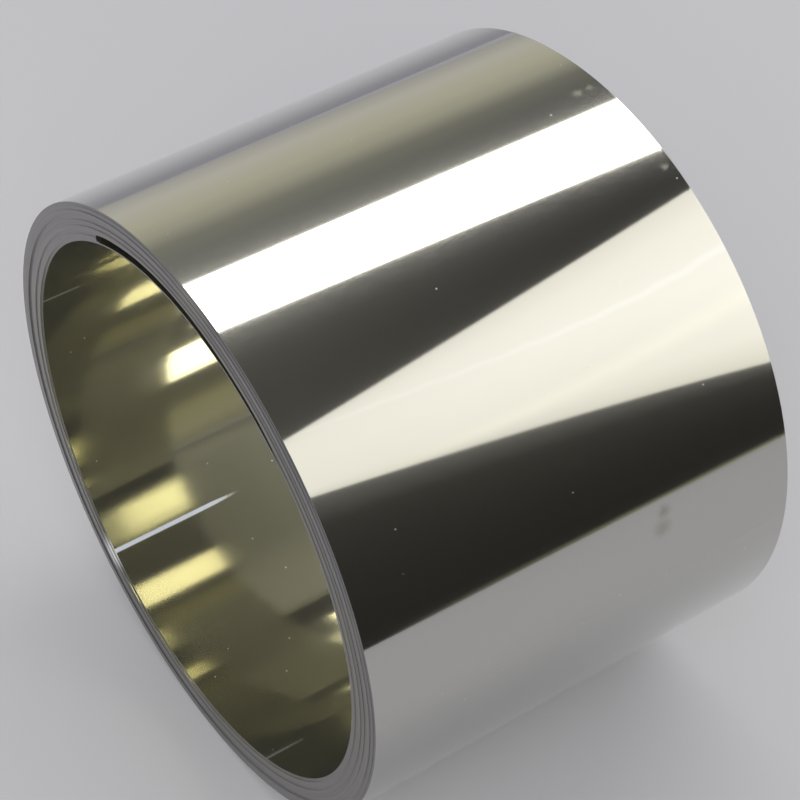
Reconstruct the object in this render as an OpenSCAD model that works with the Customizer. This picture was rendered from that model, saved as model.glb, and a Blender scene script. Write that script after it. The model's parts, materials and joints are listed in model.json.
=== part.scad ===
// Stainless steel foil roll, wound on itself with no core, lying on its side.
// Millimetres. The axis runs along Y, the floor is z = 0, the end seen first is at -Y.
// Angles are degrees from straight up, positive towards -X and negative towards +X.

/* [Roll] */
// bore left by the winding mandrel
bore_d = 150; // [76:1:300]
// thickness of the wound foil, all turns together
wall = 10.5; // [4:0.5:60]
// width of the slit foil, along the axis
foil_w = 125; // [50:1:300]

/* [Turns on the ends] */
// how far the turns stand out of line on each end
turn_step = 0.6; // [0.2:0.1:2]
// how far the last turns have slipped past the far end
turn_slip = 1.8; // [0:0.1:4]
// direction in which they stand out most
slip_mid = -95; // [-150:1:0]

/* [Loose inner end] */
// thickness drawn for a loose turn
turn_t = 0.4; // [0.3:0.1:1.5]
// widest gap behind the loose inner turn
inner_gap = 3.5; // [1.5:0.1:5]
// direction the gap is widest in
inner_mid = 0; // [-40:1:30]
// half of the arc that the gap would take
inner_half = 58; // [40:1:80]
// where the end of the inner turn rests on the wall and closes the gap
inner_tip = 27; // [0:1:40]

/* [Hidden] */
$fn = 180;
bore_r = bore_d / 2;
roll_r = bore_r + wall;
half_w = foil_w / 2;
// radii where the groups of turns meet, as shares of the wall, and how far each group stands out
share = [0, 0.08, 0.19, 0.30, 0.42, 0.55, 0.66, 0.80, 0.92, 1];
out_a = [-0.5, 0.2, -0.1, 0.35, 0, -0.3, 0.45, 0.1, -0.2];
out_b = [0.4, -0.1, 0.5, 0.1, -0.4, 0.2, -0.2, 0.3, -0.3];
groups = len(out_a);
// the end that stands out most, measured from the middle
end_w = half_w - 0.5 * turn_step;
// the circle that leaves room behind the loose inner turn, and its distance off the axis
room_off = inner_gap / (1 - cos(inner_half));
room_r = bore_r + inner_gap - room_off;
// the roll is moved along its axis so that the slipped turns don't put it off centre
shift = -turn_slip / 2;

// direction of an angle from straight up, in the cross-section
function dir(a) = [-sin(a), cos(a)];

// radius of group edge i
function edge_r(i) = bore_r + wall * share[i];

// end of group i on one side of the roll, measured from the middle
function end_of(out, i) = end_w + turn_step * (out[i] - 0.5);

// stepped end line of the turned section, from the bore outwards
function end_line(out) = [
    for (i = [0 : groups - 1])
        for (p = [[edge_r(i), end_of(out, i)], [edge_r(i + 1), end_of(out, i)]]) p];

function reversed(list) = [for (i = [len(list) - 1 : -1 : 0]) list[i]];
function flipped(list) = [for (p = list) [p[0], -p[1]]];

// the roll, turned from one section with its bore and the turns on both ends
module turned_roll() {
    rotate([90, 0, 0])
        rotate_extrude()
            polygon(concat(flipped(end_line(out_b)), reversed(end_line(out_a))));
}

// a sector of the cross-section between two angles from straight up
module sector(from, to, r) {
    steps = 6;
    polygon(concat([[0, 0]], [for (i = [0 : steps]) r * dir(from + (to - from) * i / steps)]));
}

// a flat figure of the cross-section drawn along the roll
module along(from, to) {
    translate([0, to, 0])
        rotate([90, 0, 0])
            linear_extrude(to - from)
                children();
}

// frame of a direction: x goes out along it, y along the axis, z around the roll
module facing(a) {
    rotate([0, -(a + 90), 0])
        children();
}

// the last turns, slipped obliquely past the far end
module slipped_turns() {
    intersection() {
        along(0, foil_w)
            difference() {
                circle(roll_r);
                circle(edge_r(groups - 1));
            }
        facing(slip_mid)
            translate([0, end_w, 0])
                rotate([0, 0, atan(turn_slip / roll_r)])
                    translate([0, -half_w, 0])
                        cube([4 * roll_r, foil_w, 4 * roll_r], center = true);
    }
}

// room behind the loose inner turn, a crescent that the end of the turn closes
module inner_room() {
    along(-foil_w, foil_w)
        intersection() {
            difference() {
                translate(dir(inner_mid) * room_off)
                    circle(room_r);
                circle(bore_r + turn_t);
            }
            sector(inner_mid - inner_half, inner_tip, 2 * bore_r);
        }
}

module foil_roll() {
    color([0.72, 0.71, 0.68])
        translate([0, shift, roll_r])
            difference() {
                union() {
                    turned_roll();
                    slipped_turns();
                }
                inner_room();
            }
}

foil_roll();
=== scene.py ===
# %% [markdown]
# # A roll of bright stainless steel foil, lying on its side
#
# The real object is one long strip of thin steel, wound on itself with no core. Its solid comes
# from the part's own file, with the bore, the stepped ends and the loose innermost turn. This
# script gives it the finish of bright annealed foil, and lights it the way mirror metal is lit:
# with a long lamp, a soft window and a few plain cards for it to reflect. Everything is in metres.
# The roll's axis runs along Y and the floor is z = 0.

# %% Load the part
import bpy
import json
from math import cos, radians, sin
from mathutils import Matrix, Vector

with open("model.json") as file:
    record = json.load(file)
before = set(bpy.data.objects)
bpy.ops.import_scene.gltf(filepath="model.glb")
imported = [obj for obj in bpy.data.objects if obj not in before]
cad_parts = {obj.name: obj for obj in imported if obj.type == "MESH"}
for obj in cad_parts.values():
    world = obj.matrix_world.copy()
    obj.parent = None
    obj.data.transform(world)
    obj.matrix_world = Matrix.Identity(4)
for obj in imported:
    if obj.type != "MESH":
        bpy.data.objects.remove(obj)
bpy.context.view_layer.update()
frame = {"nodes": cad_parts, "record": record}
scene = bpy.context.scene
roll = frame["nodes"]["foil_roll"]

# %% [markdown]
# ## Sizes that the looks follow
#
# The record states the bore as a mount, so the height of the axis, the bore's radius and the
# middle of the roll's width come from there. The roll lies on the floor, so its outside radius is
# the height of its axis.

# %% The roll's own measures
bore = frame["record"]["mounts"][0]
AXIS_Z = bore["pos_m"][2]
MIDDLE_Y = bore["pos_m"][1]
BORE_R = bore["dims"]["r_mm"] / 1000
ROLL_R = AXIS_Z
HALF_W = bore["dims"]["length_mm"] / 2000
MM = 0.001
print("axis height", AXIS_Z, "bore radius", BORE_R, "outside radius", ROLL_R, "half width", HALF_W)

# %% [markdown]
# ## The camera
#
# The place and the lens of the camera were fitted to the two rims and the two limbs of the roll:
# a long lens, 0.66 m from the middle of the roll, looking down at about 45 degrees.

# %% Camera
FILM_WIDTH_MM = 36
LENS_MM = 112.63
CAMERA_AT = (0.38181, -0.25814 + MIDDLE_Y, 0.56058)
CAMERA_AIM = (-0.57788, 0.39639, -0.71339)

lens_data = bpy.data.cameras.new("photo_camera")
lens_data.sensor_width = FILM_WIDTH_MM
lens_data.lens = LENS_MM
lens_data.clip_start = 0.01
camera = bpy.data.objects.new("photo_camera", lens_data)
scene.collection.objects.link(camera)
camera.location = CAMERA_AT
camera.rotation_euler = Vector(CAMERA_AIM).to_track_quat("-Z", "Y").to_euler()
scene.camera = camera
print("camera at", tuple(camera.location), "lens", lens_data.lens)

# %% [markdown]
# ## Colour and node helpers
#
# Colours are written as sRGB hex, the way a colour card gives them, and turned to the linear
# values that the renderer works with. One helper adds a node, sets it and links it. The others
# name the few kinds of node that the materials use again and again.

# %% Helpers
def linear(code):
    """sRGB hex to linear red, green, blue and alpha."""
    parts = [int(code[i:i + 2], 16) / 255 for i in (1, 3, 5)]
    return tuple(v / 12.92 if v <= 0.04045 else ((v + 0.055) / 1.055) ** 2.4 for v in parts) + (1,)


def add(tree, kind, links=None, **settings):
    """Adds one node. links gives an input a value or another node's output."""
    node = tree.nodes.new(kind)
    for name, value in settings.items():
        setattr(node, name, value)
    for socket, value in (links or {}).items():
        if isinstance(value, bpy.types.NodeSocket):
            tree.links.new(value, node.inputs[socket])
        else:
            node.inputs[socket].default_value = value
    return node


def new_material(name):
    """An empty node material."""
    material = bpy.data.materials.new(name)
    material.use_nodes = True
    material.node_tree.nodes.clear()
    return material, material.node_tree


def maths(tree, operation, a, b=0.0, c=0.0):
    """The result of one Math node."""
    return add(tree, "ShaderNodeMath", {0: a, 1: b, 2: c}, operation=operation).outputs[0]


def vectors(tree, operation, a, b=(0, 0, 0)):
    """The result of one Vector Math node: a number where the operation gives one."""
    node = add(tree, "ShaderNodeVectorMath", {0: a, 1: b}, operation=operation)
    return node.outputs["Value" if operation in ("DOT_PRODUCT", "LENGTH", "DISTANCE") else "Vector"]


def scaled(tree, vector, factor):
    """A vector times a number."""
    return add(tree, "ShaderNodeVectorMath", {0: vector, "Scale": factor}, operation="SCALE").outputs[0]


def mixed(tree, factor, a, b):
    """Mixes two numbers by a factor."""
    return add(tree, "ShaderNodeMix", {0: factor, 2: a, 3: b}).outputs[0]


def blend(tree, factor, a, b):
    """Mixes two colours by a factor."""
    return add(tree, "ShaderNodeMix", {0: factor, 6: a, 7: b}, data_type="RGBA").outputs[2]


def ranged(tree, value, start, stop, first, last, curve="LINEAR"):
    """Goes from first to last while the value goes from start to stop."""
    return add(tree, "ShaderNodeMapRange", {0: value, 1: start, 2: stop, 3: first, 4: last},
               interpolation_type=curve).outputs[0]


def eased(tree, value, start, stop, first=0.0, last=1.0):
    """The same with soft ends."""
    return ranged(tree, value, start, stop, first, last, "SMOOTHSTEP")


def noise(tree, point, detail):
    """Noise around 0.5, with one wave per unit of the point."""
    return add(tree, "ShaderNodeTexNoise", {"Vector": point, "Scale": 1.0, "Detail": detail}).outputs["Fac"]


def ramp(tree, factor, stops):
    """A colour ramp from a list of (place, hex)."""
    node = add(tree, "ShaderNodeValToRGB", {0: factor})
    elements = node.color_ramp.elements
    while len(elements) < len(stops):
        elements.new(0.5)
    for element, (place, code) in zip(elements, stops):
        element.position = place
        element.color = linear(code)
    return node.outputs[0]


print("white is", linear("#ffffff"), "mid grey is", linear("#808080"))

# %% [markdown]
# ## Bright annealed stainless steel foil
#
# The strip is rolled between polished rolls and annealed in dry hydrogen, so nothing dulls it and
# it stays close to a mirror. The eye sees hardly any colour of its own: it sees the room, drawn
# out into bands along the roll. Two places look different, and masks pick them out:
#
# - the two ends, where a hundred slit edges lie side by side and scatter the light,
# - the bore, where the foil isn't quite round, so that each reflection breaks into streaks along
#   the axis, and the light warms a little each time it bounces off the steel.

# %% Masks from the shape
# a face counts as an end when its normal has more than this along the axis
END_FACING = 0.6
# how far past the bore's radius the bore's colour reaches, behind the loose turn too, and how far
# the bore's own normal does
BORE_REACH = 4.5 * MM
SKIN_REACH = 0.25 * MM


def foil_masks(tree):
    """Where a point is: its place from the axis, its depth from the near end, and on which face."""
    place = add(tree, "ShaderNodeTexCoord")
    spot = vectors(tree, "ADD", place.outputs["Object"], (0, -MIDDLE_Y, -AXIS_Z))
    across = vectors(tree, "MULTIPLY", spot, (1, 0, 1))
    radius = vectors(tree, "LENGTH", across)
    facing = add(tree, "ShaderNodeSeparateXYZ", {0: place.outputs["Normal"]}).outputs["Y"]
    along = add(tree, "ShaderNodeSeparateXYZ", {0: spot}).outputs["Y"]
    end = maths(tree, "GREATER_THAN", maths(tree, "ABSOLUTE", facing), END_FACING)
    side = maths(tree, "SUBTRACT", 1.0, end)
    in_bore = maths(tree, "MULTIPLY", maths(tree, "LESS_THAN", radius, BORE_R + BORE_REACH), side)
    skin = maths(tree, "MULTIPLY", maths(tree, "LESS_THAN", radius, BORE_R + SKIN_REACH), side)
    depth = maths(tree, "ADD", along, HALF_W)
    return {"spot": spot, "across": across, "radius": radius, "end": end, "bore": in_bore,
            "skin": skin, "depth": depth}


print("bore mask reaches", BORE_R + BORE_REACH, "m from the axis")

# %% [markdown]
# ## The wound edges on the ends
#
# The foil is 0.1 mm thick, so a turn is far too fine to show. What shows on a real roll is that
# groups of turns stand a little in or out and are slit a little lighter or darker. The noise runs
# over the radius, in lines of about 0.5 mm, and drifts slowly around the roll.

# %% Lines of the wound edges
LINE_SPACING = 0.5 * MM
# waves of the slow change around the roll, per metre
LINE_DRIFT = 14


def wound_lines(tree, masks):
    """A value from 0 to 1 that changes from turn to turn, and slowly around the roll."""
    outward = maths(tree, "MULTIPLY", masks["radius"], 1 / LINE_SPACING)
    point = add(tree, "ShaderNodeCombineXYZ", {0: outward}).outputs[0]
    drift = vectors(tree, "MULTIPLY", masks["spot"], (LINE_DRIFT, 0, LINE_DRIFT))
    return noise(tree, vectors(tree, "ADD", point, drift), 2.0)


print("lines of the wound edges are", LINE_SPACING, "m apart")

# %% [markdown]
# ## Waves of the foil in the bore
#
# The bore is a mirror tube, and most rays bounce in it two to four times. A bump map measures its
# slopes over the width of a ray, which grows with each bounce, so it turns to grain in here. The
# normal is worked out instead: it points straight at the axis, and ripples tip it sideways by a
# few hundredths. The noise is taken in the part's own x and z, so that it has no seam around the
# bore, and is stretched about 30 to 40 times along the axis.
#
# A sharp crease runs along the bore's wall from the near rim, 43 mm deep. The foil is bent there:
# it leans 1.7 degrees over some 20 mm, most of them on one side of the crease. What it reflects is
# moved by 17 degrees after three bounces, and that is what ends a bright streak at the crease.

# %% Ripples and the bend of the innermost turn
# waves per metre in x, y and z, and the slope of each kind of ripple
BROAD_WAVES = (70, 2.5, 70)
FINE_WAVES = (260, 6, 260)
BROAD_SLOPE = 0.06
FINE_SLOPE = 0.03
# the crease, in degrees from straight up towards -X, with the directions out to it and across it
CREASE_TURN = radians(141.5)
CREASE_OUT = (-sin(CREASE_TURN), 0, cos(CREASE_TURN))
CREASE_ACROSS = (cos(CREASE_TURN), 0, sin(CREASE_TURN))
CREASE_DEPTH = 43.3 * MM
# the bend: where it sets in and ends across the crease, and the depth over which it fades
BEND_SLOPE = 0.03
BEND_SETS_IN = (-10 * MM, -1 * MM)
BEND_ENDS = (12 * MM, 20 * MM)
BEND_FADES = (40 * MM, 60 * MM)


def crease_place(tree, masks):
    """Distance across the crease, and the distance from the axis in its direction."""
    return (vectors(tree, "DOT_PRODUCT", masks["spot"], CREASE_ACROSS),
            vectors(tree, "DOT_PRODUCT", masks["spot"], CREASE_OUT))


def bend(tree, masks):
    """How far the foil leans beside the crease, as a slope."""
    off, out = crease_place(tree, masks)
    lean = maths(tree, "MULTIPLY", eased(tree, off, *BEND_SETS_IN), eased(tree, off, *BEND_ENDS, 1, 0))
    lean = maths(tree, "MULTIPLY", lean, eased(tree, masks["depth"], *BEND_FADES, 1, 0))
    lean = maths(tree, "MULTIPLY", lean, maths(tree, "GREATER_THAN", out, 0.0))
    return maths(tree, "MULTIPLY", lean, BEND_SLOPE)


def bore_normal(tree, masks):
    """The bore's normal, with ripples of about 14 mm and about 4 mm that run along the axis."""
    inward = vectors(tree, "NORMALIZE", vectors(tree, "MULTIPLY", masks["across"], (-1, 0, -1)))
    around = vectors(tree, "CROSS_PRODUCT", inward, (0, 1, 0))
    broad = noise(tree, vectors(tree, "MULTIPLY", masks["spot"], BROAD_WAVES), 1.0)
    fine = noise(tree, vectors(tree, "MULTIPLY", masks["spot"], FINE_WAVES), 1.0)
    slope = maths(tree, "MULTIPLY", maths(tree, "SUBTRACT", broad, 0.5), BROAD_SLOPE)
    slope = maths(tree, "MULTIPLY_ADD", maths(tree, "SUBTRACT", fine, 0.5), FINE_SLOPE, slope)
    slope = maths(tree, "ADD", slope, bend(tree, masks))
    return vectors(tree, "NORMALIZE", vectors(tree, "ADD", inward, scaled(tree, around, slope)))


print("ripples tip the bore's normal by up to", 0.5 * (BROAD_SLOPE + FINE_SLOPE))

# %% [markdown]
# ## Handling marks
#
# Four kinds show on the real roll. The crease in the bore has no mirror left, so it scatters a
# pale line, whose pale bluish colour is a painted highlight. Where it starts, a painted highlight
# on the near end stands for a dent that catches the light. A dried drop and some faint scuffs lie
# on the outside, most of them near the far rim. Dust lies on the foil's face in specks of a few
# tenths of a millimetre, which only the dark bands show.

# %% Crease, painted highlight on the near end, scuffs and dust
# the dried drop and its run, then the scuffs: degrees from straight up, mm from the middle of the
# roll along it, and radius in mm
MARKS = [(78, 24, 3.6), (75, 25, 2.6), (2, 55, 2.2), (2, 59, 1.6), (22, 60, 1.6), (59, 4, 0.9)]
# how much of each mark is at full strength before it turns soft, as a share of its size
CREASE_CORE = 0.3
END_HIGHLIGHT_CORE = 0.2
SCUFF_CORE = 0.2
# half the width of the crease, and the length over which it narrows and fades
CREASE_HALF = 0.9 * MM
CREASE_FADE = 12 * MM
# the painted highlight on the near end, where the crease starts: to both sides of the crease, its
# middle in the wall, and across the wall from there
END_HIGHLIGHT_ASIDE = 7 * MM
END_HIGHLIGHT_MIDDLE = BORE_R + 1 * MM
END_HIGHLIGHT_ACROSS = 6 * MM
# how uneven a scuff's outline is, and its waves per metre
SCUFF_RAG = 2 * MM
SCUFF_WAVES = 600.0
# one cell in three may hold a speck, whose radius is a share of the cell
DUST_CELL = 5 * MM
SPECK_RADIUS = 0.042
SPECK_SHARE = 0.33


def crease(tree, masks):
    """1 on the rough crease in the bore, whose pale colour is a painted highlight; 0 elsewhere."""
    off, out = crease_place(tree, masks)
    last = (CREASE_DEPTH - CREASE_FADE, CREASE_DEPTH)
    width = ranged(tree, masks["depth"], *last, CREASE_HALF, CREASE_HALF / 2)
    share = maths(tree, "DIVIDE", maths(tree, "ABSOLUTE", off), width)
    line = eased(tree, share, CREASE_CORE, 1.0, 1, 0)
    line = maths(tree, "MULTIPLY", line, eased(tree, masks["depth"], *last, 1, 0))
    below = maths(tree, "GREATER_THAN", out, 0.0)
    return maths(tree, "MULTIPLY", maths(tree, "MULTIPLY", line, below), masks["skin"])


def painted_end_highlight(tree, masks):
    """1 in the middle of the painted highlight on the near end, fading to both sides and across the wall.
    """
    off, out = crease_place(tree, masks)
    aside = maths(tree, "DIVIDE", off, END_HIGHLIGHT_ASIDE)
    within = maths(tree, "DIVIDE", maths(tree, "SUBTRACT", out, END_HIGHLIGHT_MIDDLE), END_HIGHLIGHT_ACROSS)
    away = vectors(tree, "LENGTH", add(tree, "ShaderNodeCombineXYZ", {0: aside, 1: within}).outputs[0])
    near_end = maths(tree, "MULTIPLY", masks["end"], maths(tree, "LESS_THAN", masks["depth"], HALF_W))
    return maths(tree, "MULTIPLY", eased(tree, away, END_HIGHLIGHT_CORE, 1.0, 1, 0), near_end)


def scuffs(tree, masks):
    """Soft uneven spots on the outside, as a value from 0 to 1."""
    rag = add(tree, "ShaderNodeTexNoise", {"Vector": masks["spot"], "Scale": SCUFF_WAVES, "Detail": 2.0})
    rag = vectors(tree, "SUBTRACT", rag.outputs["Color"], (0.5, 0.5, 0.5))
    place = vectors(tree, "ADD", masks["spot"], scaled(tree, rag, SCUFF_RAG))
    total = 0.0
    for turn, along, size in MARKS:
        centre = (ROLL_R * sin(radians(turn)), along * MM, ROLL_R * cos(radians(turn)))
        away = vectors(tree, "DISTANCE", place, centre)
        spot = ranged(tree, away, SCUFF_CORE * size * MM, size * MM, 1.0, 0.0)
        total = maths(tree, "MAXIMUM", spot, total)
    return total


def dust(tree, masks):
    """Sparse specks, up to 0.4 mm across, everywhere but on the ends."""
    cells = add(tree, "ShaderNodeTexVoronoi", {"Vector": masks["spot"], "Scale": 1 / DUST_CELL})
    speck = maths(tree, "LESS_THAN", cells.outputs["Distance"], SPECK_RADIUS)
    chosen = add(tree, "ShaderNodeSeparateColor", {0: cells.outputs["Color"]}).outputs[0]
    speck = maths(tree, "MULTIPLY", speck, maths(tree, "LESS_THAN", chosen, SPECK_SHARE))
    return maths(tree, "MULTIPLY", speck, maths(tree, "SUBTRACT", 1.0, masks["end"]))


print("crease", CREASE_DEPTH, "m deep, drop and scuffs", len(MARKS))

# %% [markdown]
# ## The material
#
# One metal shader carries all of it. The masks choose its colour and its roughness, and each mark
# takes some of the mirror away. A thin rough coat on top gives the soft glow around each
# reflection that rolled steel has.

# %% Foil material
# smears: waves per metre, and the span of the noise over which the roughness of the mirror changes
SMEAR_WAVES = (40, 12, 40)
SMEAR_SPAN = (0.3, 0.7)
MIRROR_ROUGH = (0.045, 0.075)
END_ROUGH = 0.42
# how much less metallic the bore is
BORE_LOSS = 0.05
# scuffs: how strong they are at most, and what they add to the roughness
SCUFF_SHARE = 0.4
SCUFF_ROUGH = 0.35
# crease, the painted highlight on the near end and dust: roughness and metal, and how much of it a
# speck of dust has
MARK_ROUGH = 0.5
MARK_METAL = 0.3
DUST_DULLS = 0.5
# how high the lines on the ends stand, and how much of a thin rough coat the foil has
LINE_HEIGHT = 0.03 * MM
COAT = 0.75
COAT_ROUGH = 0.26


def foil_material():
    """Bright annealed foil, with its ends, its bore and its handling marks."""
    material, tree = new_material("bright_annealed_steel_foil")
    masks = foil_masks(tree)
    lines = wound_lines(tree, masks)

    # the mirror face, with the faint smears that hands and rolling oil leave
    smear = noise(tree, vectors(tree, "MULTIPLY", masks["spot"], SMEAR_WAVES), 4.0)
    colour = blend(tree, smear, linear("#b7b6b1"), linear("#bdbcb8"))
    rough = ranged(tree, smear, *SMEAR_SPAN, *MIRROR_ROUGH)

    # the bore and the ends
    colour = blend(tree, masks["bore"], colour, linear("#bdbba7"))
    slit_edges = ramp(tree, lines, [(0.30, "#726f6d"), (0.50, "#7b7876"), (0.72, "#848180")])
    colour = blend(tree, masks["end"], colour, slit_edges)
    rough = mixed(tree, masks["end"], rough, END_ROUGH)
    metal = maths(tree, "SUBTRACT", 1.0, maths(tree, "MULTIPLY", masks["bore"], BORE_LOSS))

    # marks of handling, and the painted highlight on the near end: each takes some of the mirror away
    end_highlight = painted_end_highlight(tree, masks)
    scuffed = maths(tree, "MULTIPLY", scuffs(tree, masks), SCUFF_SHARE)
    crease_and_highlight = crease(tree, masks)
    specks = dust(tree, masks)
    # painted highlight: a pale bluish patch on the near end where the crease starts, standing for a dent
    colour = blend(tree, end_highlight, colour, linear("#f4f6fc"))
    colour = blend(tree, scuffed, colour, linear("#85846c"))
    # the crease is rough, and its pale bluish colour is a painted highlight
    colour = blend(tree, crease_and_highlight, colour, linear("#e4ecfd"))
    colour = blend(tree, specks, colour, linear("#c4c2ba"))
    dusty = maths(tree, "MULTIPLY", specks, DUST_DULLS)
    dull = maths(tree, "MAXIMUM", maths(tree, "MAXIMUM", crease_and_highlight, end_highlight), dusty)
    rough = maths(tree, "MULTIPLY_ADD", scuffed, SCUFF_ROUGH, rough)
    rough = mixed(tree, dull, rough, MARK_ROUGH)
    metal = mixed(tree, dull, metal, MARK_METAL)

    # slopes: a bump on the ends, in metres, and the bore's own normal
    height = maths(tree, "MULTIPLY", lines, maths(tree, "MULTIPLY", masks["end"], LINE_HEIGHT))
    bump = add(tree, "ShaderNodeBump", {"Strength": 1.0, "Distance": 1.0, "Height": height}).outputs[0]
    normal = add(tree, "ShaderNodeMix", {0: masks["skin"], 4: bump, 5: bore_normal(tree, masks)},
                 data_type="VECTOR").outputs[1]

    steel = add(tree, "ShaderNodeBsdfPrincipled", {
        "Base Color": colour,
        "Metallic": metal,
        "Roughness": rough,
        "Normal": normal,
        "Coat Weight": COAT,
        "Coat Roughness": COAT_ROUGH,
    })
    add(tree, "ShaderNodeOutputMaterial", {"Surface": steel.outputs[0]})
    return material


steel_foil = foil_material()
roll.data.materials.clear()
roll.data.materials.append(steel_foil)
print("foil nodes:", len(steel_foil.node_tree.nodes), "faces:", len(roll.data.polygons))

# %% [markdown]
# ## Floor
#
# A pale matt table top, much larger than the picture.

# %% Floor
FLOOR_HALF = 6


def flat_piece(name, corners, faces=None):
    """A stage piece from its corners: one flat face, unless faces are given."""
    mesh = bpy.data.meshes.new(name)
    one_face = [tuple(range(len(corners)))]
    mesh.from_pydata([Vector(c) for c in corners], [], faces or one_face)
    piece = bpy.data.objects.new(name, mesh)
    scene.collection.objects.link(piece)
    return piece


floor = flat_piece("floor", [(-FLOOR_HALF, -FLOOR_HALF, 0), (FLOOR_HALF, -FLOOR_HALF, 0),
                             (FLOOR_HALF, FLOOR_HALF, 0), (-FLOOR_HALF, FLOOR_HALF, 0)])
floor_paint, tree = new_material("pale_matt_table_top")
matt = add(tree, "ShaderNodeBsdfPrincipled", {"Base Color": linear("#cacaca"), "Roughness": 0.9,
                                              "Specular IOR Level": 0.1})
add(tree, "ShaderNodeOutputMaterial", {"Surface": matt.outputs[0]})
floor.data.materials.append(floor_paint)
print("floor", tuple(floor.dimensions))

# %% [markdown]
# ## What the mirror sees
#
# A mirror shows only what stands around it. For each band on the roll, the reflected direction
# was worked out at its near end and at its far end, and a card stands there. Only reflections see
# the cards. Each edge is given by its near and its far point, and drawn out past both of them.
#
# A card's colours are ramps from its low edge to its top edge, one at its near end and one at its
# far end. Soft streaks can be laid over them, and the pale card has two.

# %% Card helpers
CARD_STRIPS = 24
# how far a card is drawn out, in lengths from its near point to its far point
LONG_REACH = (-1.5, 2.0)
SHORT_REACH = (-0.6, 1.5)
NO_REACH = (0, 1)


def edge(near, far, reach=LONG_REACH):
    """The line through a near and a far point, drawn out past both of them."""
    near, far = Vector(near), Vector(far)
    return near + (far - near) * reach[0], near + (far - near) * reach[1]


def streak(tree, side, height, curve, half_width, gain):
    """A soft line on a card, at height curve[0] + curve[1] side + curve[2] side squared."""
    centre = maths(tree, "MULTIPLY_ADD", side, curve[2], curve[1])
    centre = maths(tree, "MULTIPLY_ADD", side, centre, curve[0])
    off = maths(tree, "ABSOLUTE", maths(tree, "SUBTRACT", height, centre))
    return blend(tree, ranged(tree, off, 0.0, half_width, 1.0, 0.0), (1, 1, 1, 1), gain)


def reflected_card(name, top, low, near_stops, far_stops, strength=1.0, reach=LONG_REACH, streaks=()):
    """A card for reflections. Its colours run from its low edge (0) to its top edge (1)."""
    shares = [i / CARD_STRIPS for i in range(CARD_STRIPS + 1)]
    top_near, top_far = edge(*top, reach)
    low_near, low_far = edge(*low, reach)
    points = [p for s in shares for p in (top_near.lerp(top_far, s), low_near.lerp(low_far, s))]
    strips = [(2 * i, 2 * i + 2, 2 * i + 3, 2 * i + 1) for i in range(CARD_STRIPS)]
    card = flat_piece(name, points, strips)
    card.visible_camera = False
    card.visible_diffuse = False
    card.visible_shadow = False
    layer = card.data.uv_layers.new(name="card")
    for loop, corner in zip(layer.data, card.data.loops):
        share = shares[corner.vertex_index // 2]
        loop.uv = (reach[0] + (reach[1] - reach[0]) * share, 1 - corner.vertex_index % 2)
    paint, tree = new_material(name)
    split = add(tree, "ShaderNodeSeparateXYZ", {0: add(tree, "ShaderNodeTexCoord").outputs["UV"]})
    height = split.outputs["Y"]
    side = add(tree, "ShaderNodeClamp", {0: split.outputs["X"]}).outputs[0]
    colour = blend(tree, side, ramp(tree, height, near_stops), ramp(tree, height, far_stops))
    for curve, half_width, gain in streaks:
        line = streak(tree, side, height, curve, half_width, gain)
        colour = add(tree, "ShaderNodeMix", {0: 1.0, 6: colour, 7: line}, data_type="RGBA",
                     blend_type="MULTIPLY").outputs[2]
    glow = add(tree, "ShaderNodeEmission", {"Color": colour, "Strength": strength})
    add(tree, "ShaderNodeOutputMaterial", {"Surface": glow.outputs[0]})
    card.data.materials.append(paint)


print("a card has", CARD_STRIPS, "strips, and a long one reaches", LONG_REACH)

# %% [markdown]
# ## The cards
#
# From behind the roll to its front they are a wall, the lamp's face overhead, a dark gap, a pale
# trapezoid, and a dark front that stands on the floor. Neighbours share an edge. The last card is
# a small bright panel beside the far end, which the bore looks out on. In the camera's view the
# outside of the roll doesn't reflect it.

# %% Cards
LIGHT_BACK = ((-0.458, 0.247, 0.877), (-0.380, 0.520, 0.839))
LIGHT_FRONT = ((-0.149, 0.248, 0.995), (-0.034, 0.525, 0.935))
PALE_TOP = ((0.339, 0.149, 0.636), (0.161, 0.374, 0.660))
PALE_LOW = ((0.502, 0.150, 0.493), (0.582, 0.374, 0.199))
FRONT_FOOT = ((0.420, 0.077, 0.0), (0.353, 0.237, 0.0))
HORIZON = ((-0.883, 0.236, 0.139), (-0.812, 0.501, 0.180))
LAMP_WHITE = [(0, "#fffbf2"), (1, "#fffbf2")]
# two streaks on the pale trapezoid: curve, half width, and what they multiply its colour by
PALE_STREAKS = [((1.0, -1.25, 1.0), 0.03, (1.08, 1.08, 1.13, 1)),
                ((-0.05, 0.5, 0.0), 0.09, (1.07, 1.07, 1.05, 1))]
# the close panel: its distance from the axis, and its direction in degrees from +X up to +Z
PANEL_OFF = 105 * MM
PANEL_TURN = radians(48)


def panel_line(aside, start, stop):
    """A line along the roll in the close panel's plane: mm to one side, and from where to where."""
    x = PANEL_OFF * cos(PANEL_TURN) - aside * MM * sin(PANEL_TURN)
    z = PANEL_OFF * sin(PANEL_TURN) + aside * MM * cos(PANEL_TURN) + AXIS_Z
    return (x, start * MM + MIDDLE_Y, z), (x, stop * MM + MIDDLE_Y, z)


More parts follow.
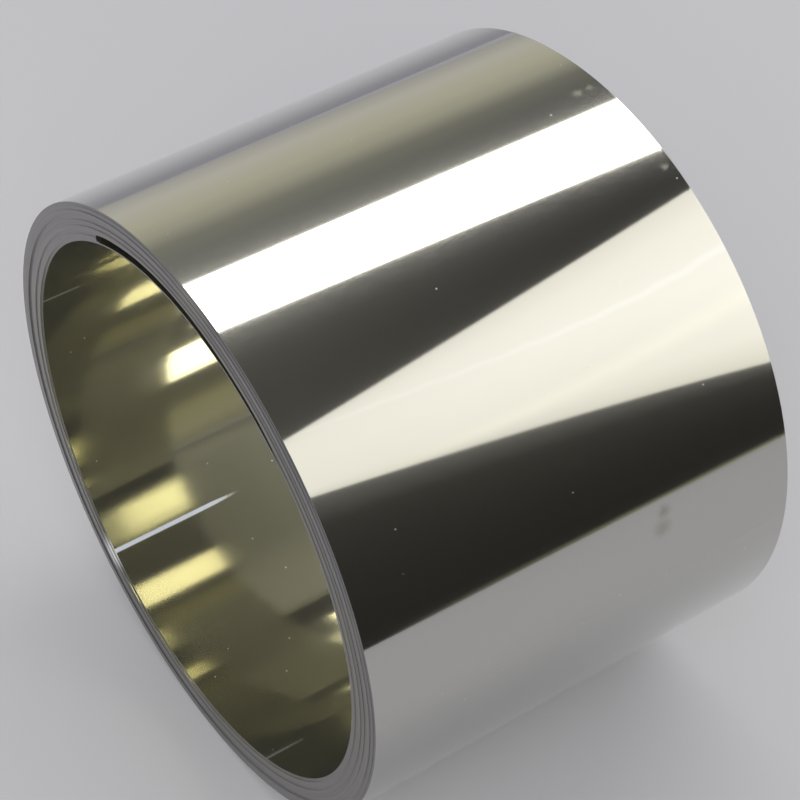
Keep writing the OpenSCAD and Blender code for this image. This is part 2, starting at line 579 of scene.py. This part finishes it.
reflected_card("back_wall", LIGHT_BACK, HORIZON,
               [(0.0, "#aeada8"), (0.22, "#cccabe"), (0.42, "#c6c3ae"), (0.54, "#b5b3a0"),
                (0.66, "#8b8a7e"), (0.80, "#7c7c75")],
               [(0.0, "#a5a49e"), (0.22, "#c9c7bb"), (0.42, "#c6c3ae"), (0.54, "#b5b3a0"),
                (0.66, "#7c7b71"), (0.80, "#5e5d58")], strength=1.2)
reflected_card("lamp_face", LIGHT_BACK, LIGHT_FRONT, LAMP_WHITE, LAMP_WHITE, strength=8.4)
reflected_card("dark_gap", LIGHT_FRONT, PALE_TOP,
               [(0.0, "#54534e"), (0.6, "#5d5c57"), (1.0, "#777870")],
               [(0.0, "#2c2b27"), (0.6, "#302f2b"), (1.0, "#484844")])
reflected_card("pale_trapezoid", PALE_TOP, PALE_LOW,
               [(0.0, "#d8d6cc"), (0.12, "#e8e6dc"), (0.85, "#eceae0"), (1.0, "#e4e2d8")],
               [(0.0, "#dedcd0"), (0.15, "#f2f0e6"), (0.55, "#fefcf4"), (0.85, "#f4f2ea"),
                (1.0, "#e6e4da")], strength=2.0, reach=SHORT_REACH, streaks=PALE_STREAKS)
reflected_card("dark_front", PALE_LOW, FRONT_FOOT,
               [(0.0, "#26241f"), (0.15, "#32302b"), (0.7, "#403e39"), (1.0, "#706f69")],
               [(0.0, "#c1c29b"), (0.03, "#1f1d19"), (0.15, "#2e2c27"), (0.7, "#3a3833"),
                (1.0, "#6a6964")], strength=1.1, reach=SHORT_REACH)
reflected_card("close_panel", panel_line(34, 85, 125), panel_line(-44, 88.2, 125),
               [(0.0, "#e6e4da"), (0.6, "#dcdad0"), (1.0, "#a09e98")],
               [(0.0, "#fefcf4"), (0.6, "#fefcf4"), (1.0, "#b4b2aa")], strength=9.3, reach=NO_REACH)

# %% [markdown]
# ## Lamp and room light
#
# The lamp that lights the floor and the ends hangs where the lamp's face is reflected, and is
# longer, so that the shadow under the roll stays soft. A wide window in front, on the right,
# lightens the near end. The room adds a plain, slightly cool light.

# %% Lamp and world
LAMP_LENGTH = 1.6
LAMP_ENERGY = 3.2
LAMP_COLOUR = (1.0, 0.97, 0.86)
WINDOW_SIZE = 1.4
WINDOW_ENERGY = 14.0
WINDOW_COLOUR = (1.0, 0.98, 0.91)
WINDOW_AT = Vector((1.1, -0.9, 0.9))
WINDOW_AIM = Vector((0, 0, 0.05))
ROOM_COLOUR = (0.54, 0.545, 0.62, 1)


def soft_lamp(name, width, length, energy, colour):
    """A rectangular lamp, which reflections don't show."""
    data = bpy.data.lights.new(name, "AREA")
    data.shape = "RECTANGLE"
    data.size = width
    data.size_y = length
    data.energy = energy
    data.color = colour
    lamp = bpy.data.objects.new(name, data)
    scene.collection.objects.link(lamp)
    lamp.visible_glossy = False
    return lamp


back = [Vector(p) for p in LIGHT_BACK]
front = [Vector(p) for p in LIGHT_FRONT]
centre = sum(back + front, Vector()) / 4
along = (back[1] - back[0]).normalized()
across = (front[0] + front[1] - back[0] - back[1]) / 2
up = across.cross(along).normalized()
side = along.cross(up).normalized()
lamp = soft_lamp("long_lamp", across.length, LAMP_LENGTH, LAMP_ENERGY, LAMP_COLOUR)
lamp.matrix_world = Matrix.Translation(centre) @ Matrix((side, along, up)).transposed().to_4x4()
window = soft_lamp("soft_window", WINDOW_SIZE, WINDOW_SIZE, WINDOW_ENERGY, WINDOW_COLOUR)
window.location = WINDOW_AT
window.rotation_euler = (WINDOW_AIM - WINDOW_AT).to_track_quat("-Z", "Y").to_euler()
world = bpy.data.worlds.new("plain_room")
world.use_nodes = True
scene.world = world
room = world.node_tree.nodes["Background"]
room.inputs["Color"].default_value = ROOM_COLOUR
room.inputs["Strength"].default_value = 1.0
scene.view_settings.view_transform = "Standard"
print("lamp at", tuple(centre), "size", across.length, LAMP_LENGTH)
